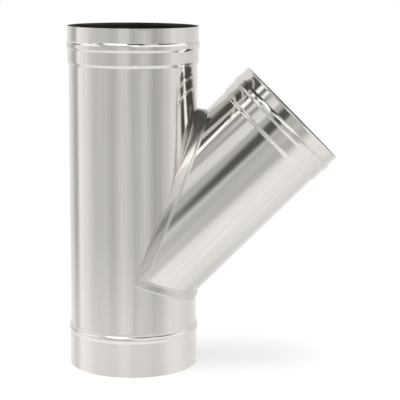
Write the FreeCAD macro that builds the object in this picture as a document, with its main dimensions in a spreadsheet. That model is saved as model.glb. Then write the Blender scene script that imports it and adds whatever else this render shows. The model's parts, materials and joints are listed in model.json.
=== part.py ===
import FreeCAD, Part
import math
import os
import Sketcher

# Single-wall stainless flue tee: an upright tube with a push-fit socket on top and a
# male coupler below, and a slightly narrower branch at 45 degrees with its own socket.
# Frame: +Z up the upright tube, origin at the centre of its lower mouth, the branch
# rising towards +X. The sheet metal is one thickness throughout.

# Driving dimensions, in millimetres and degrees.
SIZES = [
    ("wall", 0.6, "sheet thickness of every metal piece"),
    ("tube_radius", 75.0, "outside radius of the upright tube"),
    ("branch_inset", 2.3, "how much smaller the branch's outside radius is"),
    ("overall_height", 401.0, "lower mouth to upper mouth"),
    ("crossing_height", 114.0, "height where the two axes cross"),
    ("branch_stub", 114.0, "branch mouth from the crossing, past the tube's diameter"),
    ("branch_angle", 45.0, "branch axis from the upright axis"),
    ("slip_gap", 0.25, "radial play of a spigot in a socket"),
    ("top_socket_depth", 43.0, "upper mouth to the middle of its step"),
    ("top_lip", 21.9, "upper mouth to the middle of its gasket bead"),
    ("branch_socket_depth", 38.8, "branch mouth to the middle of its step"),
    ("branch_lip", 17.6, "branch mouth to the middle of its gasket bead"),
    ("step_half", 2.6, "half the length of the step from tube to socket"),
    ("bead_half", 5.1, "half the width of a gasket bead at its foot"),
    ("shoulder_half", 3.6, "bead middle to the middle of each sloping shoulder"),
    ("shoulder_rise", 0.72, "height of the shoulder's middle over the socket"),
    ("crest_half", 1.8, "half the width of the bead's level crest"),
    ("bead_rise", 1.15, "crest height over the socket"),
    ("flare_rise", 0.3, "how far a mouth opens"),
    ("flare_length", 2.4, "length of the opened lip"),
    ("coupler_height", 50.0, "lower mouth to the upper edge of the coupler"),
    ("stop_height", 43.9, "lower mouth to the middle of the stop bead"),
    ("stop_half", 4.3, "half the width of the stop bead"),
    ("stop_rise", 1.6, "stop bead height over the coupler"),
    ("tube_foot", 26.0, "lower edge of the upright tube, inside the coupler"),
    ("collar_out", 1.2, "collar corner from the upright axis"),
    ("collar_drop", 4.5, "collar corner below the axis crossing"),
    ("upper_tilt", 0.9, "upper leg of the collar, steeper than the mitre line"),
    ("lower_tilt", 0.5, "lower leg of the collar, flatter than the mitre line"),
    ("upper_band", 11.0, "collar width along its upper leg"),
    ("lower_band", 8.6, "collar width along its lower leg"),
    ("corner_round", 5.0, "rounding where the two legs meet"),
    ("collar_lap", 4.0, "branch tube inside the collar"),
    ("seat_gap", 0.03, "play between the collar and the tubes it stands on"),
    ("weld_leg", 0.9, "leg of the bead along the collar's edge"),
    ("seam_half", 1.5, "half the width of a lengthwise weld"),
    ("seam_rise", 0.2, "height of a lengthwise weld"),
    ("seam_clear", 2.0, "end of a lengthwise weld to the next edge"),
    ("main_seam_turn", 180.0, "upright tube's lengthwise weld from the branch's side"),
    ("gasket_half", 3.4, "half the width of a gasket where it is widest"),
    ("gasket_back_half", 1.7, "half the width of a gasket's back, in the bead's crest"),
    ("gasket_shy", 0.05, "gasket face behind the socket bore"),
    ("lip_groove", 0.55, "depth of the grooves between a gasket's lips"),
    ("lip_pitch", 2.4, "spacing of a gasket's lips"),
    ("lip_half", 0.5, "half the width of a gasket's lip"),
    ("cut_margin", 30.0, "how far a cutting body passes the tube"),
]

doc = FreeCAD.newDocument("flue_tee")
sheet = doc.addObject("Spreadsheet::Sheet", "sizes")
for row, (alias, number, meaning) in enumerate(SIZES, start=1):
    sheet.set(f"A{row}", meaning)
    sheet.set(f"B{row}", str(number))
    sheet.setAlias(f"B{row}", alias)
doc.recompute()

# Radius and reach of the branch, which follow the upright tube's radius.
BRANCH_RADIUS = "tube_radius - branch_inset"
BRANCH_REACH = "tube_radius + tube_radius + branch_stub"


def size(alias):
    return float(sheet.get(alias))


def formula(text):
    """The sheet's expression for a sum of cells such as 'tube_radius - wall/2'."""
    return " ".join(word if word in "+-0" else "sizes." + word for word in text.split())


def value(text):
    """The number that formula(text) comes to."""
    words = text.split()
    total = 0.0
    for sign, word in zip(["+"] + words[1::2], words[0::2]):
        name, _, divisor = word.partition("/")
        number = 0.0 if name == "0" else size(name) / float(divisor or 1)
        total += number if sign == "+" else -number
    return total


def origin_plane(body, role):
    return next(item for item in body.Origin.OriginFeatures if item.Role == role)


def new_body(label):
    body = doc.addObject("PartDesign::Body", label)
    body.Label = label
    return body


def new_sketch(body, name):
    sketch = body.newObject("Sketcher::SketchObject", name)
    sketch.AttachmentSupport = [(origin_plane(body, "XZ_Plane"), "")]
    sketch.MapMode = "FlatFace"
    return sketch


def bind(sketch, constraint, text):
    """Add a constraint and tie its value to the sheet."""
    index = sketch.addConstraint(constraint)
    sketch.setExpression(f"Constraints[{index}]", formula(text))


def pin_down(sketch, geometry, end, place):
    """Tie one end of a sketch element to a place given as two sums of cells."""
    across, along = place
    bind(sketch, Sketcher.Constraint("DistanceX", geometry, end, value(across)), across)
    bind(sketch, Sketcher.Constraint("DistanceY", geometry, end, value(along)), along)


def flat(place):
    return FreeCAD.Vector(value(place[0]), value(place[1]), 0)


def draw_arc(sketch, first, middle, last):
    """Arc through three places. Returns its index and the ends at first and last."""
    points = [flat(place) for place in (first, middle, last)]
    centre = Part.Circle(*points).Center
    radius = (points[0] - centre).Length
    angles = [math.atan2(point.y - centre.y, point.x - centre.x) for point in points]
    turn = (points[1] - points[0]).cross(points[2] - points[1]).z
    start, end = (angles[0], angles[2]) if turn > 0 else (angles[2], angles[0])
    circle = Part.Circle(centre, FreeCAD.Vector(0, 0, 1), radius)
    index = sketch.addGeometry(Part.ArcOfCircle(circle, start, end), False)
    crest = sketch.addGeometry(Part.Point(points[1]), True)
    pin_down(sketch, crest, 1, middle)
    sketch.addConstraint(Sketcher.Constraint("PointOnObject", crest, 1, index))
    return (index, 1, 2) if turn > 0 else (index, 2, 1)


def draw_outline(sketch, outline):
    """Closed outline of (across, along) places; a place with 'via' bends the run to it."""
    runs = []
    for here, there in zip(outline, outline[1:] + outline[:1]):
        if len(there) == 3:
            runs.append(draw_arc(sketch, here[:2], there[2], there[:2]))
        else:
            line = Part.LineSegment(flat(here), flat(there))
            runs.append((sketch.addGeometry(line, False), 1, 2))
    for here, run in zip(outline, runs):
        pin_down(sketch, run[0], run[1], here[:2])
    for run, following in zip(runs, runs[1:] + runs[:1]):
        ends = (run[0], run[2], following[0], following[1])
        sketch.addConstraint(Sketcher.Constraint("Coincident", *ends))


def revolve(body, name, outline):
    sketch = new_sketch(body, name + "_profile")
    draw_outline(sketch, outline)
    feature = body.newObject("PartDesign::Revolution", name)
    feature.Profile = sketch
    feature.ReferenceAxis = (sketch, ["V_Axis"])
    feature.Angle = 360.0
    body.Tip = feature
    return feature


def socket_wall(tube, mouth, lip, depth):
    """One face of a sheet-metal socket, from its tube up to its mouth.

    tube is the tube's radius on that face. The socket grows by its own wall, the wall
    of the coupler that it takes and the slip gap."""
    bore = f"{tube} + wall + wall + slip_gap"
    half_grown = f"{tube} + wall + slip_gap/2"
    little_grown = f"{tube} + wall/4 + slip_gap/8"
    nearly_grown = f"{bore} - wall/4 - slip_gap/8"
    shoulder = f"{bore} + shoulder_rise"
    crest = f"{bore} + bead_rise"
    step = f"{mouth} - {depth}"
    bead = f"{mouth} - {lip}"
    return [
        (tube, f"{step} - step_half"),
        (half_grown, step, (little_grown, f"{step} - step_half/2")),
        (bore, f"{step} + step_half", (nearly_grown, f"{step} + step_half/2")),
        (bore, f"{bead} - bead_half"),
        (crest, f"{bead} - crest_half", (shoulder, f"{bead} - shoulder_half")),
        (crest, f"{bead} + crest_half"),
        (bore, f"{bead} + bead_half", (shoulder, f"{bead} + shoulder_half")),
        (bore, f"{mouth} - flare_length"),
        (f"{bore} + flare_rise", mouth),
    ]


def backwards(places):
    """The same open run of places from its far end, with each arc kept on its stretch."""
    turned = []
    for index in range(len(places) - 1, -1, -1):
        via = places[index + 1][2:] if index + 1 < len(places) else ()
        turned.append(places[index][:2] + via)
    return turned


def socketed_tube(label, radius, foot, mouth, lip, depth):
    """Rolled tube of one sheet thickness whose upper end is a socket with its bead."""
    outside = socket_wall(radius, mouth, lip, depth)
    inside = socket_wall(f"{radius} - wall", mouth, lip, depth)
    body = new_body(label)
    outline = [(f"{radius} - wall", foot), (radius, foot)] + outside + backwards(inside)
    revolve(body, label + "_wall", outline)
    return body


def coupler():
    """Male sleeve over the foot of the upright tube, with a half-round stop bead."""
    inner = "tube_radius"
    outer = "tube_radius + wall"
    low = "stop_height - stop_half"
    high = "stop_height + stop_half"
    body = new_body("male_coupler")
    outline = [
        (inner, "0"),
        (outer, "0"),
        (outer, low),
        (outer, high, (f"{outer} + stop_rise", "stop_height")),
        (outer, "coupler_height"),
        (inner, "coupler_height"),
        (inner, high),
        (inner, low, (f"{inner} + stop_rise", "stop_height")),
    ]
    revolve(body, "coupler_wall", outline)
    return body


def gasket(label, radius, mouth, lip):
    """Silicone ring in the socket's bead, drawn as it is when a spigot presses it flat."""
    back = f"{radius} + wall + slip_gap + bead_rise"
    face = f"{radius} + wall + slip_gap + gasket_shy"
    groove = f"{face} + lip_groove"
    middle = f"{mouth} - {lip}"
    body = new_body(label)
    outline = [(back, f"{middle} - gasket_back_half"), (back, f"{middle} + gasket_back_half")]
    lips = [f"{middle} + lip_pitch", middle, f"{middle} - lip_pitch"]
    outline.append((groove, f"{middle} + gasket_half"))
    for place in lips:
        outline += [
            (groove, f"{place} + lip_half"),
            (face, f"{place} + lip_half"),
            (face, f"{place} - lip_half"),
            (groove, f"{place} - lip_half"),
        ]
    outline.append((groove, f"{middle} - gasket_half"))
    revolve(body, label + "_ring", outline)
    return body


def seam_weld(label, radius, foot, head):
    """Flat lengthwise weld on +X: a narrow arc of the tube's round, slightly proud."""
    body = new_body(label)
    crown = f"{radius} + seam_rise"
    outline = [(radius, foot), (crown, foot), (crown, head), (radius, head)]
    strip = revolve(body, label + "_strip", outline)
    strip.Midplane = True
    strip.setExpression("Angle", f"360 * sizes.seam_half / (pi * ({formula(radius)}))")
    return body


def lean_on_branch(piece):
    """Move a piece drawn upright about the origin onto the branch axis."""
    piece.Placement = FreeCAD.Placement(FreeCAD.Vector(), FreeCAD.Vector(0, 1, 0), 1)
    piece.setExpression("Placement.Base.z", "sizes.crossing_height")
    piece.setExpression("Placement.Rotation.Angle", "sizes.branch_angle")


# The collar seen from the side is a V lying on its side: its corner is on the near face
# of the upright tube, its upper leg runs up to the acute crotch and its lower leg down
# to the obtuse one. Every edge of the collar, the opening and the branch's end is that
# V moved inwards by some width.
BRANCH = math.radians(size("branch_angle"))
upper_slope = math.pi / 2 - BRANCH / 2 + math.radians(size("upper_tilt"))
lower_slope = BRANCH / 2 - math.radians(size("lower_tilt"))
UPPER = (math.cos(upper_slope), math.sin(upper_slope))
LOWER = (math.cos(lower_slope), -math.sin(lower_slope))


def vee_corner(upper_inset, lower_inset):
    """Corner of the V, from the axis crossing, once its legs have moved inwards."""
    opening = math.sin(upper_slope + lower_slope)
    across = size("collar_out")
    along = -size("collar_drop")
    for leg, inset in ((LOWER, upper_inset), (UPPER, lower_inset)):
        across += leg[0] * inset / opening
        along += leg[1] * inset / opening
    return across, along


def vee_prism(label, upper_inset, lower_inset):
    """Body that holds all the space inside the V, from front to back of the tubes."""
    body = new_body(label)
    sketch = new_sketch(body, label + "_outline")
    corner = vee_corner(value(upper_inset), value(lower_inset))
    lift = size("crossing_height")
    far = value(f"tube_radius + {BRANCH_REACH}")
    round_off = size("corner_round")
    half = (upper_slope + lower_slope) / 2
    reach = round_off / math.tan(half)
    sharp = FreeCAD.Vector(corner[0], corner[1] + lift, 0)
    legs = [FreeCAD.Vector(leg[0], leg[1], 0) for leg in (UPPER, LOWER)]
    bends = [sharp + leg * reach for leg in legs]
    tips = [sharp + leg * ((far - corner[0]) / leg.x) for leg in legs]
    middle = (legs[0] + legs[1]).normalize() * (round_off / math.sin(half))
    centre = sharp + middle
    angles = [math.atan2(bend.y - centre.y, bend.x - centre.x) for bend in bends]
    circle = Part.Circle(centre, FreeCAD.Vector(0, 0, 1), round_off)
    upper = sketch.addGeometry(Part.LineSegment(bends[0], tips[0]), False)
    lower = sketch.addGeometry(Part.LineSegment(bends[1], tips[1]), False)
    closing = sketch.addGeometry(Part.LineSegment(tips[0], tips[1]), False)
    arc = sketch.addGeometry(
        Part.ArcOfCircle(circle, angles[0] % math.tau, angles[1] % math.tau), False)
    start = FreeCAD.Vector(size("collar_out"), lift - size("collar_drop"), 0)
    mark = sketch.addGeometry(Part.Point(start), True)
    pin_down(sketch, mark, 1, ("collar_out", "crossing_height - collar_drop"))
    for line, inset in ((upper, upper_inset), (lower, lower_inset)):
        if value(inset) > 0:
            gap = Sketcher.Constraint("Distance", mark, 1, line, value(inset))
            bind(sketch, gap, inset)
        else:
            sketch.addConstraint(Sketcher.Constraint("PointOnObject", mark, 1, line))
        bind(sketch, Sketcher.Constraint("DistanceX", line, 2, far),
             f"tube_radius + {BRANCH_REACH}")
    slopes = ((upper, upper_slope, "90 - sizes.branch_angle / 2 + sizes.upper_tilt"),
              (lower, -lower_slope, "sizes.lower_tilt - sizes.branch_angle / 2"))
    for line, slope, text in slopes:
        index = sketch.addConstraint(Sketcher.Constraint("Angle", line, slope))
        sketch.setExpression(f"Constraints[{index}]", text)
    bind(sketch, Sketcher.Constraint("Radius", arc, round_off), "corner_round")
    for ends in ((upper, 1, arc, 1), (lower, 1, arc, 2)):
        sketch.addConstraint(Sketcher.Constraint("Tangent", *ends))
    for ends in ((upper, 2, closing, 1), (lower, 2, closing, 2)):
        sketch.addConstraint(Sketcher.Constraint("Coincident", *ends))
    pad = body.newObject("PartDesign::Pad", label + "_block")
    pad.Profile = sketch
    pad.Midplane = True
    pad.Length = 2 * (size("tube_radius") + size("cut_margin"))
    pad.setExpression("Length", "2 * (sizes.tube_radius + sizes.cut_margin)")
    body.Tip = pad
    return body


def boolean(kind, label, base, tool):
    result = doc.addObject(kind, label)
    result.Base = base
    result.Tool = tool
    result.Label = label
    return result


# The collar is a band ruled between an edge on the upright tube and an edge on the
# branch. Its edges are worked out point by point, because each one is a bent curve
# around a tube.
LEG_POINTS = 26
BEND_POINTS = 8
BRANCH_AXIS = FreeCAD.Vector(math.sin(BRANCH), 0, math.cos(BRANCH))
CROSSING = FreeCAD.Vector(0, 0, size("crossing_height"))


def vee_side_view(across_upper, across_lower, radius, upper_inset, lower_inset):
    """Points of the V in side view, spaced evenly round a tube of that radius.

    across_upper and across_lower give a point's distance from the tube's axis, as the
    two factors of its side-view coordinates, for the upper and for the lower leg."""
    corner = vee_corner(upper_inset, lower_inset)
    half = (upper_slope + lower_slope) / 2
    reach = size("corner_round") / math.tan(half)

    def leg_points(leg, factors):
        start = factors[0] * corner[0] + factors[1] * corner[1]
        rate = factors[0] * leg[0] + factors[1] * leg[1]
        last = math.acos((start + rate * reach) / radius)
        found = []
        for step in range(LEG_POINTS):
            away = (radius * math.cos(last * step / (LEG_POINTS - 1)) - start) / rate
            found.append((corner[0] + leg[0] * away, corner[1] + leg[1] * away))
        return found

    upper = leg_points(UPPER, across_upper)
    lower = leg_points(LOWER, across_lower)
    centre_reach = size("corner_round") / math.sin(half)
    middle = (upper_slope - lower_slope) / 2
    centre = (corner[0] + centre_reach * math.cos(middle),
              corner[1] + centre_reach * math.sin(middle))
    first = upper_slope + math.pi / 2
    sweep = math.pi - 2 * half
    bend = []
    for step in range(1, BEND_POINTS):
        angle = first + sweep * step / BEND_POINTS
        bend.append((centre[0] + size("corner_round") * math.cos(angle),
                     centre[1] + size("corner_round") * math.sin(angle)))
    return upper + bend + lower[::-1]


def close_round(front, radius, factors):
    """Whole loop round a tube from side-view points: its front half and its back half.

    factors give a point's distance from the tube's axis, as in vee_side_view."""
    loop = []
    for across, along in front:
        from_axis = factors[0] * across + factors[1] * along
        depth = math.sqrt(max(radius ** 2 - from_axis ** 2, 0.0))
        loop.append(FreeCAD.Vector(across, -depth, along) + CROSSING)
    back = [FreeCAD.Vector(point.x, -point.y, point.z) for point in loop[-2:0:-1]]
    return loop + back


def tube_edge():
    """Inner edge of the collar where it stands on the upright tube."""
    radius = value("tube_radius + seat_gap")
    front = vee_side_view((1, 0), (1, 0), radius, 0.0, 0.0)
    return close_round(front, radius, (1, 0))


def branch_edge():
    """Inner edge of the collar where it laps the branch tube."""
    radius = value(f"{BRANCH_RADIUS} + seat_gap")
    rise = (-math.cos(BRANCH), math.sin(BRANCH))
    fall = (math.cos(BRANCH), -math.sin(BRANCH))
    front = vee_side_view(rise, fall, radius, size("upper_band"), size("lower_band"))
    return close_round(front, radius, fall)


def neighbours(loop):
    return zip(loop, loop[1:] + loop[:1], loop[-1:] + loop[:-1])


def thicken(loop, other, amount):
    """Move a loop outwards by an amount, square to the band between it and the other."""
    moved = []
    for (here, following, before), across in zip(neighbours(loop), other):
        outward = (following - before).cross(across - here)
        outward.normalize()
        moved.append(here + outward * amount)
    return moved


def slide_on_tube(loop, centre, axis, radius, amount):
    """Move a loop along the tube that it lies on, towards that tube's mouth."""
    side = FreeCAD.Vector(0, 1, 0)
    front = side.cross(axis)
    flat_loop = []
    for point in loop:
        arm = point - centre
        angle = math.atan2(arm.dot(side), arm.dot(front))
        flat_loop.append((angle, arm.dot(axis)))
    moved = []
    for (angle, along), following, before in neighbours(flat_loop):
        turn = (following[0] - before[0] + math.pi) % math.tau - math.pi
        run = FreeCAD.Vector(turn * radius, following[1] - before[1], 0)
        run.normalize()
        normal = FreeCAD.Vector(-run.y, run.x, 0)
        if normal.y < 0:
            normal = normal * -1
        new_angle = angle + normal.x * amount / radius
        new_along = along + normal.y * amount
        moved.append(centre + axis * new_along + front * (radius * math.cos(new_angle))
                     + side * (radius * math.sin(new_angle)))
    return moved


def ring_solid(label, loops):
    """Closed band whose section runs through the loops in order."""
    marks = [0.0]
    for here, following in zip(loops[0], loops[0][1:] + loops[0][:1]):
        marks.append(marks[-1] + (following - here).Length)
    edges = []
    for loop in loops:
        curve = Part.BSplineCurve()
        curve.interpolate(Points=loop, PeriodicFlag=True, Parameters=marks)
        edges.append(curve.toShape())
    faces = [Part.makeRuledSurface(edge, following)
             for edge, following in zip(edges, edges[1:] + edges[:1])]
    shell = Part.makeShell(faces)
    shell.sewShape()
    solid = Part.makeSolid(Part.Shell(shell.Faces))
    if solid.Volume < 0:
        solid.reverse()
    piece = doc.addObject("Part::Feature", label)
    piece.Label = label
    piece.Shape = solid
    return piece


# Sheet-metal pieces
main_wall = socketed_tube("main_wall", "tube_radius", "tube_foot", "overall_height",
                          "top_lip", "top_socket_depth")
branch_wall = socketed_tube("branch_wall", BRANCH_RADIUS, "0", BRANCH_REACH,
                            "branch_lip", "branch_socket_depth")
lean_on_branch(branch_wall)
opening = vee_prism("opening", "0", "0")
branch_end = vee_prism("branch_end", "upper_band - collar_lap", "lower_band - collar_lap")
main_tube = boolean("Part::Cut", "main_tube", main_wall, opening)
branch_tube = boolean("Part::Common", "branch_tube", branch_wall, branch_end)
male_coupler = coupler()

# Lengthwise welds: opposite the branch on the upright tube, underneath on the branch
main_seam_weld = seam_weld(
    "main_seam_weld", "tube_radius", "coupler_height + seam_clear",
    "overall_height - top_socket_depth - step_half - seam_clear")
main_seam_weld.Placement = FreeCAD.Placement(FreeCAD.Vector(), FreeCAD.Vector(0, 0, 1), 1)
main_seam_weld.setExpression("Placement.Rotation.Angle", "sizes.main_seam_turn")
branch_strip = seam_weld(
    "branch_strip", BRANCH_RADIUS, "0",
    f"{BRANCH_REACH} - branch_socket_depth - step_half - seam_clear")
lean_on_branch(branch_strip)
strip_end = vee_prism("strip_end", "upper_band + weld_leg + seam_clear",
                      "lower_band + weld_leg + seam_clear")
branch_seam_weld = boolean("Part::Common", "branch_seam_weld", branch_strip, strip_end)

# Collar band and the weld along its outer edge
on_tube = tube_edge()
on_branch = branch_edge()
over_tube = thicken(on_tube, on_branch, size("wall"))
over_branch = thicken(on_branch, [2 * a - b for a, b in zip(on_branch, on_tube)],
                      size("wall"))
saddle_collar = ring_solid("saddle_collar", [on_tube, on_branch, over_branch, over_tube])
weld_foot = slide_on_tube(on_branch, CROSSING, BRANCH_AXIS,
                          value(f"{BRANCH_RADIUS} + seat_gap"), size("weld_leg"))
collar_weld = ring_solid("collar_weld", [on_branch, weld_foot, over_branch])

# Gaskets in the socket beads
top_gasket = gasket("top_gasket", "tube_radius", "overall_height", "top_lip")
branch_gasket = gasket("branch_gasket", BRANCH_RADIUS, BRANCH_REACH, "branch_lip")
lean_on_branch(branch_gasket)

doc.recompute()
pieces = [main_tube, male_coupler, branch_tube, saddle_collar, collar_weld,
          main_seam_weld, branch_seam_weld, top_gasket, branch_gasket]
for item in doc.Objects:
    if "Invalid" in item.State or "Error" in item.State:
        raise RuntimeError(f"{item.Label} did not build: {item.State}")
os.makedirs("parts", exist_ok=True)
for piece in pieces:
    if piece.Shape.isNull() or not piece.Shape.isValid():
        raise RuntimeError(f"{piece.Label} has no valid shape")
    print(piece.Label, len(piece.Shape.Solids), round(piece.Shape.Volume, 1))
    piece.Shape.exportStep(f"parts/{piece.Label}.step")
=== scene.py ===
import json
import math

import bpy
from mathutils import Matrix, Vector


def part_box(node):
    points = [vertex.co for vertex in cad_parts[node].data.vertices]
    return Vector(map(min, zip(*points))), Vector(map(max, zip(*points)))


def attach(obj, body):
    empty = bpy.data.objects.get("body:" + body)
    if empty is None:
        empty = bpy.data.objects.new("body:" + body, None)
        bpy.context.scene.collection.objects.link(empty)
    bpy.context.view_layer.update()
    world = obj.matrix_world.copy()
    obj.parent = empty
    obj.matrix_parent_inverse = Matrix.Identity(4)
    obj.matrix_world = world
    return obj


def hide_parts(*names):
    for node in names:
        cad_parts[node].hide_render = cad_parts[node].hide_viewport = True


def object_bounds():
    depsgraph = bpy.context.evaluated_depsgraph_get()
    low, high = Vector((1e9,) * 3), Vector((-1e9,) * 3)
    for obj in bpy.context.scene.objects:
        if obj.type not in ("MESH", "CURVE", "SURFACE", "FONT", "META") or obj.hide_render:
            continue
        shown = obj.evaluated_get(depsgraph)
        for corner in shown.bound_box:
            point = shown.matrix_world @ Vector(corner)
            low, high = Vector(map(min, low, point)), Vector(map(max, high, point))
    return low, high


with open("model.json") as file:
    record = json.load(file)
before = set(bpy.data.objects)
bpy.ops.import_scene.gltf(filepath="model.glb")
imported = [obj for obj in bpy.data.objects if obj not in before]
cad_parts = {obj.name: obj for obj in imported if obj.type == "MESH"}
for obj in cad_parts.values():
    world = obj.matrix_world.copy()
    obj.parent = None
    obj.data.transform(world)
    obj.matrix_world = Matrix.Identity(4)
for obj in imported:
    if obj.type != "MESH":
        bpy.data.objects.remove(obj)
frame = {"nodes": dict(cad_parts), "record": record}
nodes = frame["nodes"]
cad_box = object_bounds()

# ---------------------------------------------------------------- places and sizes

MM = 0.001
mounts = {mount["name"]: mount for mount in frame["record"]["mounts"]}
BRANCH_AXIS = Vector(mounts["branch_socket"]["axis"]).normalized()
BRANCH_ANGLE = math.atan2(BRANCH_AXIS.x, BRANCH_AXIS.z)
SOCKET_PLACE = Vector(mounts["branch_socket"]["pos_m"])
CROSSING = SOCKET_PLACE - BRANCH_AXIS * (SOCKET_PLACE.x / BRANCH_AXIS.x)
# A socket's bore is wider than its tube by one sheet and the gap for the next pipe
WALL = 0.6 * MM
SLIP_GAP = 0.25 * MM
SOCKET_GROWTH = WALL + SLIP_GAP
TUBE_RADIUS = mounts["top_socket"]["dims"]["r_mm"] * MM - SOCKET_GROWTH
BRANCH_RADIUS = mounts["branch_socket"]["dims"]["r_mm"] * MM - SOCKET_GROWTH


def in_side_view(angle):
    """Direction in side view (x, z) at an angle above the horizontal."""
    return Vector((math.cos(angle), math.sin(angle)))


# The collar seen from the side is a V lying on its side, as in the CAD: where its corner
# is from the crossing of the axes, how its legs lean, how wide the band is along each leg
# and how the corner is rounded.
COLLAR_CORNER = Vector((1.2, -4.5)) * MM
UPPER_SLOPE = math.pi / 2 - BRANCH_ANGLE / 2 + math.radians(0.9)
LOWER_SLOPE = BRANCH_ANGLE / 2 - math.radians(0.5)
UPPER_BAND = 11.0 * MM
LOWER_BAND = 8.6 * MM
CORNER_ROUND = 5.0 * MM
HALF_OPENING = (UPPER_SLOPE + LOWER_SLOPE) / 2
# In the acute crotch the band is drawn out into a web: its edge on the upright tube climbs
# and its edge on the branch falls back, over this angle round each tube.
WEB_RISE = 8.7 * MM
WEB_FALL = 8.6 * MM
WEB_SPREAD = math.radians(42)

UPPER_LEG = in_side_view(UPPER_SLOPE)
LOWER_LEG = in_side_view(-LOWER_SLOPE)
UP = Vector((0, 0, 1))
ACROSS = Vector((0, 1, 0))
TUBE_RIGHT = Vector((1, 0))
BRANCH_UNDER = in_side_view(-BRANCH_ANGLE)
BRANCH_RUN = in_side_view(math.pi / 2 - BRANCH_ANGLE)


# ---------------------------------------------------------------- node helpers

class Shader:
    """Short way to write a node tree."""

    def __init__(self, tree):
        self.tree = tree
        tree.nodes.clear()

    def node(self, kind, **settings):
        made = self.tree.nodes.new(kind)
        for name, setting in settings.items():
            setattr(made, name, setting)
        return made

    def link(self, source, target):
        self.tree.links.new(source, target)

    def plug(self, socket, source):
        if isinstance(source, (int, float, tuple)):
            socket.default_value = source
        else:
            self.link(source, socket)

    def math(self, operation, first, second=None, third=None, clamp=False):
        made = self.node("ShaderNodeMath", operation=operation, use_clamp=clamp)
        for socket, source in zip(made.inputs, (first, second, third)):
            if source is not None:
                self.plug(socket, source)
        return made.outputs[0]

    def remap(self, source, low, high, out_low=0.0, out_high=1.0, smooth=True):
        made = self.node("ShaderNodeMapRange")
        made.interpolation_type = "SMOOTHSTEP" if smooth else "LINEAR"
        self.plug(made.inputs["Value"], source)
        made.inputs["From Min"].default_value = low
        made.inputs["From Max"].default_value = high
        made.inputs["To Min"].default_value = out_low
        made.inputs["To Max"].default_value = out_high
        return made.outputs["Result"]

    def blend(self, factor, first, second):
        made = self.node("ShaderNodeMix", data_type="RGBA")
        self.plug(made.inputs["Factor"], factor)
        self.plug(made.inputs[6], first)
        self.plug(made.inputs[7], second)
        return made.outputs[2]

    def ramp(self, source, stops):
        made = self.node("ShaderNodeValToRGB")
        elements = made.color_ramp.elements
        while len(elements) < len(stops):
            elements.new(0.5)
        for element, (place, colour) in zip(elements, stops):
            element.position = place
            element.color = colour
        self.link(source, made.inputs["Fac"])
        return made.outputs["Color"]

    def noise(self, place, scale, detail=2.0, roughness=0.5):
        made = self.node("ShaderNodeTexNoise")
        self.link(place, made.inputs["Vector"])
        made.inputs["Scale"].default_value = scale
        made.inputs["Detail"].default_value = detail
        made.inputs["Roughness"].default_value = roughness
        return made.outputs["Fac"]

    def vector_math(self, operation, first, second=None):
        made = self.node("ShaderNodeVectorMath", operation=operation)
        for socket, source in zip(made.inputs, (first, second)):
            if isinstance(source, bpy.types.NodeSocket):
                self.link(source, socket)
            elif source is not None:
                socket.default_value = source
        return made

    def upright(self, vector):
        """Turn a direction or place of the branch so that the branch's axis is Z."""
        made = self.node("ShaderNodeVectorRotate", rotation_type="Y_AXIS")
        self.link(vector, made.inputs["Vector"])
        made.inputs["Angle"].default_value = -BRANCH_ANGLE
        return made.outputs[0]

    def surface(self, source, kind="Material"):
        """Make a shader the tree's result."""
        out = self.node("ShaderNodeOutput" + kind)
        self.link(source, out.inputs["Surface"])

    def finish_surface(self, colour, dull, height, depth, metallic=0.0):
        """Principled surface with its colour, roughness and relief from the pattern."""
        bsdf = self.node("ShaderNodeBsdfPrincipled")
        bsdf.inputs["Metallic"].default_value = metallic
        self.link(colour, bsdf.inputs["Base Color"])
        self.link(dull, bsdf.inputs["Roughness"])
        bump = self.node("ShaderNodeBump")
        bump.inputs["Distance"].default_value = depth
        self.link(height, bump.inputs["Height"])
        self.link(bump.outputs["Normal"], bsdf.inputs["Normal"])
        self.surface(bsdf.outputs[0])


def grey(level):
    return (level, level, level, 1.0)


def start_material(name):
    material = bpy.data.materials.new(name)
    material.use_nodes = True
    return material, Shader(material.node_tree)


# ---------------------------------------------------------------- materials

STEEL = (0.78, 0.755, 0.72)
STAIN_TINT = (0.52, 0.46, 0.38, 1.0)
HEAT_TINT = (0.72, 0.67, 0.59, 1.0)
# Near-black colour painted on the tubes' inner side: painted shade inside the tubes
INSIDE_PAINTED_SHADE = (0.05, 0.049, 0.047, 1.0)
RUBBER = (0.012, 0.012, 0.012, 1.0)
DUSTY_RUBBER = (0.035, 0.034, 0.032, 1.0)
# How fine each pattern is, per metre
GRAIN_SCALE, STREAK_SCALE, WAVE_SCALE, STAIN_SCALE = 700.0, 160.0, 22.0, 16.0
DUST_SCALE, PORE_SCALE = 140.0, 1600.0
PATCH_SCALE, GRIT_SCALE = 180.0, 1800.0
# How deep it is
GRAIN_DEPTH, STREAK_DEPTH, WAVE_DEPTH = 0.0009 * MM, 0.0035 * MM, 0.06 * MM
PORE_DEPTH, GRIT_DEPTH = 0.02 * MM, 0.01 * MM
GRAIN_CONTRAST = 0.035
INSIDE_DULLNESS = 0.25
# A sheet's inner side faces the axis: how far, in tube radii, tells it from a cut edge
FACING_AXIS = -0.3


def tube_place(shader, leaning):
    """Place on the object in a tube's own frame: its axis is Z, through the origin."""
    coords = shader.node("ShaderNodeTexCoord").outputs["Object"]
    if not leaning:
        return coords
    return shader.upright(shader.vector_math("SUBTRACT", coords, CROSSING).outputs[0])


def stretch(shader, place, factors):
    """Scale a place so that a pattern on it runs long in one direction."""
    return shader.vector_math("MULTIPLY", place, factors).outputs[0]


def tinted(colour, factor):
    return (colour[0] * factor, colour[1] * factor, colour[2] * factor, 1.0)


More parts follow.
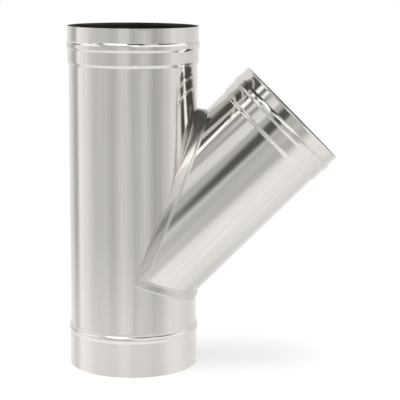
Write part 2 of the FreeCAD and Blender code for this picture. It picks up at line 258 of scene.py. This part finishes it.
def inner_side(shader, place, leaning):
    """1 on the side of a tube's sheet that faces the tube's axis, 0 on its outer side."""
    normal = shader.node("ShaderNodeNewGeometry").outputs["Normal"]
    if leaning:
        normal = shader.upright(normal)
    flat = stretch(shader, place, (1.0, 1.0, 0.0))
    facing = shader.vector_math("DOT_PRODUCT", flat, normal).outputs["Value"]
    return shader.math("LESS_THAN", facing, FACING_AXIS * TUBE_RADIUS)


def steel(name, leaning=False, grain=(1.0, 1.0, 0.02), roughness=0.1, brush=1.0, ripple=1.0,
          contrast=1.0, shine=1.0, painted_shade_inside=False):
    """Rolled stainless sheet: fine grain along one direction, faint stains and a slow
    unevenness of the sheet. brush is how deep the grain is, ripple how uneven the sheet,
    contrast how much the grain's colour differs and shine how bright the metal is. With
    painted_shade_inside the side towards the tube's axis is painted near black and made
    duller: painted shade inside the tube."""
    material, shader = start_material(name)
    place = tube_place(shader, leaning)
    grained = stretch(shader, place, grain)
    fine = shader.noise(grained, GRAIN_SCALE, detail=4.0, roughness=0.6)
    streak = shader.noise(grained, STREAK_SCALE)
    stain = shader.noise(stretch(shader, place, (1.0, 1.0, 0.4)), STAIN_SCALE, detail=4.0)
    wave = shader.noise(stretch(shader, place, (1.0, 1.0, 0.25)), WAVE_SCALE, detail=1.0)

    tone = shader.math("MULTIPLY_ADD", streak, 0.55, shader.math("MULTIPLY", fine, 0.45))
    spread = GRAIN_CONTRAST * contrast
    colour = shader.blend(shader.remap(tone, 0.35, 0.65), tinted(STEEL, shine - spread),
                          tinted(STEEL, shine + spread))
    colour = shader.blend(shader.remap(stain, 0.50, 0.72, 0.0, 0.06), colour, STAIN_TINT)
    dull = shader.math("MULTIPLY_ADD", stain, 0.05, shader.math("MULTIPLY", tone, 0.06))
    dull = shader.math("ADD", dull, roughness - 0.055)
    # Painted shade: the side facing the tube's axis is coloured near black and made duller
    if painted_shade_inside:
        inside = inner_side(shader, place, leaning)
        colour = shader.blend(inside, colour, INSIDE_PAINTED_SHADE)
        dull = shader.math("MULTIPLY_ADD", inside, INSIDE_DULLNESS, dull)

    height = shader.math("MULTIPLY", fine, GRAIN_DEPTH * brush)
    height = shader.math("MULTIPLY_ADD", streak, STREAK_DEPTH * brush, height)
    height = shader.math("MULTIPLY_ADD", wave, WAVE_DEPTH * ripple, height)
    shader.finish_surface(colour, dull, height, 1.0, metallic=1.0)
    return material


def rubber(name):
    """Black silicone: matt, with a little dust and fine pores."""
    material, shader = start_material(name)
    place = tube_place(shader, False)
    dust = shader.noise(place, DUST_SCALE, detail=4.0)
    pores = shader.noise(place, PORE_SCALE)
    colour = shader.blend(shader.remap(dust, 0.45, 0.75), RUBBER, DUSTY_RUBBER)
    dull = shader.remap(dust, 0.3, 0.7, 0.5, 0.7)
    shader.finish_surface(colour, dull, pores, PORE_DEPTH)
    return material


def weld_bead(name):
    """Weld metal: rougher than the sheet, with a straw and grey heat tint in patches."""
    material, shader = start_material(name)
    place = tube_place(shader, False)
    patch = shader.noise(place, PATCH_SCALE, detail=3.0)
    grit = shader.noise(place, GRIT_SCALE)
    colour = shader.blend(shader.remap(patch, 0.35, 0.7), tinted(STEEL, 0.92), HEAT_TINT)
    dull = shader.remap(grit, 0.3, 0.7, 0.2, 0.34)
    shader.finish_surface(colour, dull, grit, GRIT_DEPTH, metallic=1.0)
    return material


def dress(node, material):
    mesh = nodes[node].data
    mesh.materials.clear()
    mesh.materials.append(material)


upright_steel = steel("upright_steel", brush=0.7, painted_shade_inside=True)
branch_steel = steel("branch_steel", leaning=True, brush=0.45, painted_shade_inside=True)
coupler_steel = steel("coupler_steel", grain=(0.03, 0.03, 1.0), roughness=0.25, brush=0.35,
                      ripple=0.5, contrast=0.35, shine=1.08)
collar_steel = steel("collar_steel", leaning=True, grain=(1.0, 0.6, 0.12), roughness=0.24,
                     brush=1.5, contrast=1.6, shine=0.88)
weld_steel = weld_bead("weld_steel")
silicone = rubber("silicone")
for node, material in (("main_tube", upright_steel), ("branch_tube", branch_steel),
                       ("male_coupler", coupler_steel), ("top_gasket", silicone),
                       ("branch_gasket", silicone)):
    dress(node, material)


# ---------------------------------------------------------------- collar and welds

LEG_STEPS = 90
BEND_STEPS = 14
HOLLOW_STEPS = 5
BAND_STEPS = 6
LIP_STEPS = 3
LIP_FALL_STEPS = 4
# The collar's section: the hollow at its foot, how it bulges, and the lip at its top
FILLET = 1.3 * MM
FILLET_LIFT = 0.3 * MM
BAND_CROWN = 0.12 * MM
LIP_RISE = 0.3 * MM
LIP_RUN = 1.6 * MM
LIP_CREST = 0.3 * LIP_RUN
LIP_OVERHANG = 0.35 * MM
LIP_END = 0.9 * MM
# How deep the drawn pieces' edges sink into the tubes
SUNK = 0.04 * MM

RIPPLE_PITCH = 1.5 * MM
RIPPLE_STEP = RIPPLE_PITCH / 4
RIPPLE_BOW = 0.35
RIPPLE_DROP = 0.22
COLLAR_BEAD_HEIGHT = 0.42 * MM
COLLAR_BEAD_SUNK = 0.05 * MM
COLLAR_BEAD_MIDDLE = 0.75 * MM
COLLAR_BEAD_HALF = 0.65 * MM
COLLAR_BEAD_PARTS = 7
SEAM_HEIGHT = 0.22 * MM
SEAM_HALF = 1.5 * MM
SEAM_PARTS = 9
SEAM_RUN_OUT = 6


def web_share(turn):
    """1 in the middle of the sharp angle, falling to 0 at WEB_SPREAD round the tube."""
    return 0.5 + 0.5 * math.cos(min(turn / WEB_SPREAD, 1.0) * math.pi)


def leg_points(leg, corner, away, radius, web):
    """Side view of one leg round a tube, from the crotch to the rounded corner."""
    start = away.dot(corner)
    rate = away.dot(leg)
    reach = CORNER_ROUND / math.tan(HALF_OPENING)
    last = math.acos((start + rate * reach) / radius)
    points = []
    for step in range(LEG_STEPS):
        turn = last * step / (LEG_STEPS - 1)
        point = corner + leg * ((radius * math.cos(turn) - start) / rate)
        points.append(point + web * web_share(turn))
    return points


def bend_points(corner):
    """Side view of the rounded corner, from the upper leg to the lower one."""
    middle = in_side_view((UPPER_SLOPE - LOWER_SLOPE) / 2)
    centre = corner + middle * (CORNER_ROUND / math.sin(HALF_OPENING))
    first = UPPER_SLOPE + math.pi / 2
    sweep = math.pi - 2 * HALF_OPENING
    return [centre + in_side_view(first + sweep * step / BEND_STEPS) * CORNER_ROUND
            for step in range(1, BEND_STEPS)]


def vee_edge(radius, upper_away, lower_away, upper_inset, lower_inset, web):
    """Loop round a tube where the V, moved inwards, meets it.

    upper_away and lower_away turn a side-view place into its distance from the tube's
    axis; web is how far the loop shifts, in side view, in the middle of the sharp angle."""
    opening = math.sin(2 * HALF_OPENING)
    corner = (COLLAR_CORNER + LOWER_LEG * (upper_inset / opening)
              + UPPER_LEG * (lower_inset / opening))
    upper = leg_points(UPPER_LEG, corner, upper_away, radius, web)
    lower = leg_points(LOWER_LEG, corner, lower_away, radius, Vector((0, 0)))
    front = []
    for point in upper + bend_points(corner) + lower[::-1]:
        depth = math.sqrt(max(radius ** 2 - lower_away.dot(point) ** 2, 0.0))
        front.append(Vector((point.x, -depth, point.y)) + CROSSING)
    return front + [Vector((p.x, -p.y, p.z)) for p in front[-2:0:-1]]


def tube_normal(point, centre, axis):
    arm = point - centre
    return (arm - axis * arm.dot(axis)).normalized()


def onto_tube(point, centre, axis, radius):
    """The nearest place to a point on a tube of that radius."""
    foot = centre + axis * (point - centre).dot(axis)
    return foot + tube_normal(point, centre, axis) * radius


foot_edge = vee_edge(TUBE_RADIUS, TUBE_RIGHT, TUBE_RIGHT, 0.0, 0.0, Vector((0, WEB_RISE)))
branch_edge = vee_edge(BRANCH_RADIUS, -BRANCH_UNDER, BRANCH_UNDER, UPPER_BAND, LOWER_BAND,
                       -BRANCH_RUN * WEB_FALL)


def quadratic(first, control, last, steps):
    """Places along a curve that leaves first towards control and ends at last."""
    points = []
    for step in range(steps + 1):
        t = step / steps
        points.append(first * (1 - t) ** 2 + control * (2 * t * (1 - t)) + last * t ** 2)
    return points


def loft(name, sections, material, stands_for, closed=True):
    """Skin through sections of equal length, joined up in a ring when closed."""
    size = len(sections[0])
    mesh = bpy.data.meshes.new(name)
    faces = []
    for start in range(len(sections) if closed else len(sections) - 1):
        here = start * size
        after = (start + 1) % len(sections) * size
        for step in range(size - 1):
            faces.append((here + step, after + step, after + step + 1, here + step + 1))
    mesh.from_pydata([point for section in sections for point in section], [], faces)
    mesh.materials.append(material)
    mesh.shade_smooth()
    piece = bpy.data.objects.new(name, mesh)
    bpy.context.collection.objects.link(piece)
    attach(piece, "root")
    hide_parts(stands_for)
    return piece


def collar_section(foot, top, along):
    """From the upright tube up a small hollow, over the band and its lip, to the branch."""
    run = (top - foot).normalized()
    outward = along.cross(run).normalized()
    inside = onto_tube(foot - run * FILLET, CROSSING, UP, TUBE_RADIUS - SUNK)
    shoulder = foot + run * FILLET + outward * WALL
    section = quadratic(inside, foot + outward * FILLET_LIFT, shoulder, HOLLOW_STEPS)
    edge = top - run * LIP_RUN + outward * WALL
    for step in range(1, BAND_STEPS):
        t = step / BAND_STEPS
        section.append(shoulder.lerp(edge, t) + outward * (BAND_CROWN * 4 * t * (1 - t)))
    section.append(edge)
    lift = outward * (WALL + LIP_RISE)
    ridge = top - run * LIP_CREST + lift
    section += quadratic(edge, ridge - run * LIP_CREST, ridge, LIP_STEPS)[1:]
    down = onto_tube(top + run * LIP_END, CROSSING, BRANCH_AXIS, BRANCH_RADIUS - SUNK)
    section += quadratic(ridge, top + run * LIP_OVERHANG + lift, down, LIP_FALL_STEPS)[1:]
    return section


def build_collar():
    sections = []
    count = len(foot_edge)
    for index in range(count):
        along = foot_edge[(index + 1) % count] - foot_edge[index - 1]
        sections.append(collar_section(foot_edge[index], branch_edge[index], along))
    loft("collar_skin", sections, collar_steel, "saddle_collar")


def walk(loop, step):
    """Places evenly spaced along a closed loop."""
    marks = [0.0]
    for here, following in zip(loop, loop[1:] + loop[:1]):
        marks.append(marks[-1] + (following - here).length)
    total = round(marks[-1] / step)
    places = []
    index = 0
    for number in range(total):
        target = marks[-1] * number / total
        while marks[index + 1] < target:
            index += 1
        share = (target - marks[index]) / (marks[index + 1] - marks[index])
        places.append(loop[index].lerp(loop[(index + 1) % len(loop)], share))
    return places


def ripple_height(along, across):
    """Overlapping scales of a weld: steep at the front, flat behind, bowed in the middle."""
    phase = (along / RIPPLE_PITCH + RIPPLE_BOW * across ** 2) % 1.0
    return (1 - across ** 2) * (1 - RIPPLE_DROP * phase)


def from_side_to_side(parts):
    """Evenly spaced numbers from -1 to 1."""
    return [2 * part / (parts - 1) - 1 for part in range(parts)]


def build_collar_weld():
    places = walk(branch_edge, RIPPLE_STEP)
    sections = []
    for index, place in enumerate(places):
        along = (places[(index + 1) % len(places)] - places[index - 1]).normalized()
        normal = tube_normal(place, CROSSING, BRANCH_AXIS)
        outwards = along.cross(normal)
        if outwards.dot(BRANCH_AXIS) < 0:
            outwards = -outwards
        section = []
        for across in from_side_to_side(COLLAR_BEAD_PARTS):
            height = COLLAR_BEAD_HEIGHT * ripple_height(index * RIPPLE_STEP, across)
            spot = place + outwards * (COLLAR_BEAD_MIDDLE + COLLAR_BEAD_HALF * across)
            section.append(onto_tube(spot, CROSSING, BRANCH_AXIS,
                                     BRANCH_RADIUS + height - COLLAR_BEAD_SUNK))
        sections.append(section)
    loft("collar_weld_bead", sections, weld_steel, "collar_weld")


def build_seam(name, start, end, outward, stands_for):
    """Straight rippled bead between two places on a tube's skin."""
    length = (end - start).length
    count = round(length / RIPPLE_STEP)
    sections = []
    for number in range(count + 1):
        place = start.lerp(end, number / count)
        fade = min(1.0, number / SEAM_RUN_OUT, (count - number) / SEAM_RUN_OUT)
        section = []
        for side in from_side_to_side(SEAM_PARTS):
            height = SEAM_HEIGHT * ripple_height(length * number / count, side) * fade
            section.append(place + ACROSS * (side * SEAM_HALF) + outward * (height - SUNK))
        sections.append(section)
    loft(name, sections, weld_steel, stands_for, closed=False)


def build_seams():
    low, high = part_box("main_seam_weld")
    away = Vector((-1, 0, 0))
    line = away * TUBE_RADIUS
    build_seam("main_seam_bead", line + UP * low.z, line + UP * high.z, away,
               "main_seam_weld")
    low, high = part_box("branch_seam_weld")
    under = Vector((BRANCH_UNDER.x, 0, BRANCH_UNDER.y))
    line = CROSSING + under * BRANCH_RADIUS
    ends = [line + BRANCH_AXIS * ((x - line.x) / BRANCH_AXIS.x) for x in (low.x, high.x)]
    build_seam("branch_seam_bead", ends[0], ends[1], under, "branch_seam_weld")


build_collar()
build_collar_weld()
build_seams()


# ---------------------------------------------------------------- studio

FLOOR_RADIUS = 0.55
FLOOR_FADE = 0.45
FLOOR_GREY = 0.32
FLOOR_GLOW = 0.68
FLOOR_MIRRORED = 0.3
FLOOR_DROP = 0.2 * MM
SHADE_DROP = 0.1 * MM
SHADE_CORNERS = 64

# The studio as the steel sees it: degrees from the camera's side, positive towards the
# branch, and how bright it is there. Light and dark cards stand all round the object.
AROUND = [
    (-180, 0.95), (-150, 0.85), (-138, 0.75), (-128, 0.50), (-119, 0.54), (-111, 1.02),
    (-95, 0.92), (-86, 0.84), (-72, 0.66), (-48, 0.65), (-36, 0.55), (-20, 0.76),
    (-9, 0.74), (0, 0.53), (8, 0.60), (20, 0.72), (28, 0.62), (38, 0.48), (50, 0.55),
    (60, 0.68), (72, 0.86), (90, 0.86), (120, 0.75), (150, 0.85), (180, 0.95),
]
BELOW = [
    (-180, 1.0), (30, 0.95), (75, 0.93), (106, 0.87), (119, 0.82), (132, 0.72), (143, 0.74),
    (152, 0.77), (180, 1.0),
]
TABLE_EDGE, TABLE_SOFT = -29.0, 5.0
CARDS_TOP, CARDS_SOFT = 9.0, 4.0
DARK = 0.09
# Boxes of light and dark overhead: from and to in azimuth, from and to in elevation,
# the width of their soft edge, and their brightness.
BOXES = [
    (-104, 112, 9, 33, 4, 1.2),
    (-180, -130, 5, 44, 6, 0.85),
    (112, 180, 5, 36, 6, 0.72),
    (-60, -2, 5, 27, 4, 0.52),
    (10, 32, -27, -16, 4, 0.52),
    (-50, -27, 22, 34, 3, 0.84),
    (-72, -52, 26, 41, 3, 0.52),
    (-86, -74, 34, 48, 3, 1.3),
    (23, 52, 30, 47, 3, 0.85),
    (-30, 12, 27, 38, 3, 1.5),
    (-62, -12, 40, 60, 3, 2.2),
    (-48, -14, 37, 44, 3, 1.9),
    (-22, 2, 53, 72, 3, 1.6),
    (-134, -102, 14, 36, 4, 0.95),
]
# A round dark spot: azimuth and elevation of its middle, radius, soft edge, brightness.
SPOT = (-10.5, 11.5, 9.5, 4, 0.1)

LAMP_PLACE = (0.1, -0.1, 1.8)
LAMP_SIZE = 1.2
LAMP_POWER = 34.0

CAMERA_PLACE = Vector((32.9, -1569.4, 475.7)) * MM
CAMERA_YAW, CAMERA_PITCH, CAMERA_ROLL = (math.radians(a) for a in (1.678, -10.115, 0.396))
CAMERA_LENS = 120.85
SENSOR_WIDTH = 36.0


def band(shader, angle, low, high, soft):
    rise = shader.remap(angle, low - soft, low + soft)
    fall = shader.remap(angle, high - soft, high + soft, 1.0, 0.0)
    return shader.math("MULTIPLY", rise, fall)


def heading(azimuth, elevation):
    """Unit vector towards a place in the studio, given in degrees."""
    turn, rise = math.radians(azimuth), math.radians(elevation)
    return Vector((math.sin(turn) * math.cos(rise), -math.cos(turn) * math.cos(rise),
                   math.sin(rise)))


def walls(shader, turn, elevation):
    """The cards all round, the table under them and the dark over them."""
    share = shader.math("MULTIPLY_ADD", turn, 0.5 / math.pi, 0.5)
    around, below = (shader.ramp(share, [((a + 180) / 360, grey(level)) for a, level in row])
                     for row in (AROUND, BELOW))
    over = shader.remap(elevation, CARDS_TOP - CARDS_SOFT, CARDS_TOP + CARDS_SOFT)
    under = shader.remap(elevation, TABLE_EDGE + TABLE_SOFT, TABLE_EDGE - TABLE_SOFT)
    return shader.blend(under, shader.blend(over, around, grey(DARK)), below)


def cards_overhead(shader, azimuth, elevation, level):
    for left, right, low, high, soft, bright in BOXES:
        wide = band(shader, azimuth, left, right, soft)
        tall = band(shader, elevation, low, high, soft)
        level = shader.blend(shader.math("MULTIPLY", wide, tall), level, grey(bright))
    return level


def dark_spot(shader, direction, level):
    middle, height, radius, soft, bright = SPOT
    along = shader.vector_math("DOT_PRODUCT", direction, heading(middle, height))
    apart = shader.math("DEGREES", shader.math("ARCCOSINE", along.outputs["Value"]))
    inside = shader.remap(apart, radius - soft, radius + soft, 1.0, 0.0)
    return shader.blend(inside, level, grey(bright))


def build_world():
    """Cards for the steel to reflect; the camera itself sees plain white."""
    world = bpy.data.worlds.new("studio")
    world.use_nodes = True
    bpy.context.scene.world = world
    shader = Shader(world.node_tree)
    direction = shader.node("ShaderNodeTexCoord").outputs["Generated"]
    parts = shader.node("ShaderNodeSeparateXYZ")
    shader.link(direction, parts.inputs[0])
    backwards = shader.math("MULTIPLY", parts.outputs["Y"], -1.0)
    turn = shader.math("ARCTAN2", parts.outputs["X"], backwards)
    azimuth = shader.math("DEGREES", turn)
    elevation = shader.math("DEGREES", shader.math("ARCSINE", parts.outputs["Z"]))
    level = walls(shader, turn, elevation)
    level = cards_overhead(shader, azimuth, elevation, level)
    level = dark_spot(shader, direction, level)
    seen = shader.node("ShaderNodeLightPath").outputs["Is Camera Ray"]
    background = shader.node("ShaderNodeBackground")
    shader.link(shader.blend(seen, level, grey(1.0)), background.inputs["Color"])
    shader.surface(background.outputs[0], "World")


def add_stage(name, corners, height, material):
    """A flat piece of the studio's floor, with its corners in order."""
    mesh = bpy.data.meshes.new(name)
    mesh.from_pydata(corners, [], [tuple(range(len(corners)))])
    mesh.materials.append(material)
    flat = bpy.data.objects.new(name, mesh)
    flat.location.z = height
    bpy.context.collection.objects.link(flat)


def matte_grey(shader):
    matte = shader.node("ShaderNodeBsdfDiffuse")
    matte.inputs["Color"].default_value = grey(FLOOR_GREY)
    return matte.outputs[0]


def pale_floor():
    """Pale and softly lit, fading out far from the object, and fainter in the steel."""
    material, shader = start_material("pale_floor")
    coords = shader.node("ShaderNodeTexCoord").outputs["Object"]
    away = shader.vector_math("LENGTH", coords).outputs["Value"]
    fade = shader.remap(away, FLOOR_RADIUS - FLOOR_FADE, FLOOR_RADIUS + FLOOR_FADE)
    glow = shader.node("ShaderNodeEmission")
    glow.inputs["Color"].default_value = grey(FLOOR_GLOW)
    pale = shader.node("ShaderNodeAddShader")
    shader.link(matte_grey(shader), pale.inputs[0])
    shader.link(glow.outputs[0], pale.inputs[1])
    glossy = shader.node("ShaderNodeLightPath").outputs["Is Glossy Ray"]
    kept = shader.math("MULTIPLY_ADD", glossy, FLOOR_MIRRORED - 1.0, 1.0)
    solid = shader.math("MULTIPLY", shader.math("SUBTRACT", 1.0, fade), kept)
    clear = shader.node("ShaderNodeBsdfTransparent")
    mixed = shader.node("ShaderNodeMixShader")
    shader.link(solid, mixed.inputs["Fac"])
    shader.link(clear.outputs[0], mixed.inputs[1])
    shader.link(pale.outputs[0], mixed.inputs[2])
    shader.surface(mixed.outputs[0])
    return material


def build_floor():
    reach = FLOOR_RADIUS + FLOOR_FADE
    corners = [(x * reach, y * reach, 0.0) for x, y in ((-1, -1), (1, -1), (1, 1), (-1, 1))]
    add_stage("floor", corners, cad_box[0].z - FLOOR_DROP, pale_floor())


def build_painted_shade_floor():
    """The floor that the upright tube stands round, which no light from below reaches: a
    grey disc without the pale floor's glow, painted shade inside the tube.
    """
    turns = [math.tau * step / SHADE_CORNERS for step in range(SHADE_CORNERS)]
    rim = [Vector((math.cos(turn), math.sin(turn), 0)) * TUBE_RADIUS for turn in turns]
    material, shader = start_material("shaded_floor")
    shader.surface(matte_grey(shader))
    add_stage("painted_shade_floor", rim, cad_box[0].z - SHADE_DROP, material)


def build_lights():
    data = bpy.data.lights.new("overhead", "AREA")
    data.shape = "DISK"
    data.size = LAMP_SIZE
    data.energy = LAMP_POWER
    lamp = bpy.data.objects.new("overhead", data)
    lamp.location = LAMP_PLACE
    lamp.visible_glossy = False
    lamp.visible_camera = False
    bpy.context.collection.objects.link(lamp)


def build_camera():
    level = math.cos(CAMERA_PITCH)
    forward = Vector((math.sin(CAMERA_YAW) * level, math.cos(CAMERA_YAW) * level,
                      math.sin(CAMERA_PITCH)))
    right = Vector((math.cos(CAMERA_YAW), -math.sin(CAMERA_YAW), 0.0))
    up = right.cross(forward)
    across = right * math.cos(CAMERA_ROLL) + up * math.sin(CAMERA_ROLL)
    upwards = up * math.cos(CAMERA_ROLL) - right * math.sin(CAMERA_ROLL)
    data = bpy.data.cameras.new("camera")
    data.lens = CAMERA_LENS
    data.sensor_width = SENSOR_WIDTH
    camera = bpy.data.objects.new("camera", data)
    turn = Matrix((across, upwards, -forward)).transposed().to_4x4()
    camera.matrix_world = Matrix.Translation(CAMERA_PLACE) @ turn
    bpy.context.collection.objects.link(camera)
    bpy.context.scene.camera = camera


build_world()
build_floor()
build_painted_shade_floor()
build_lights()
build_camera()
bpy.context.scene.view_settings.view_transform = "Standard"
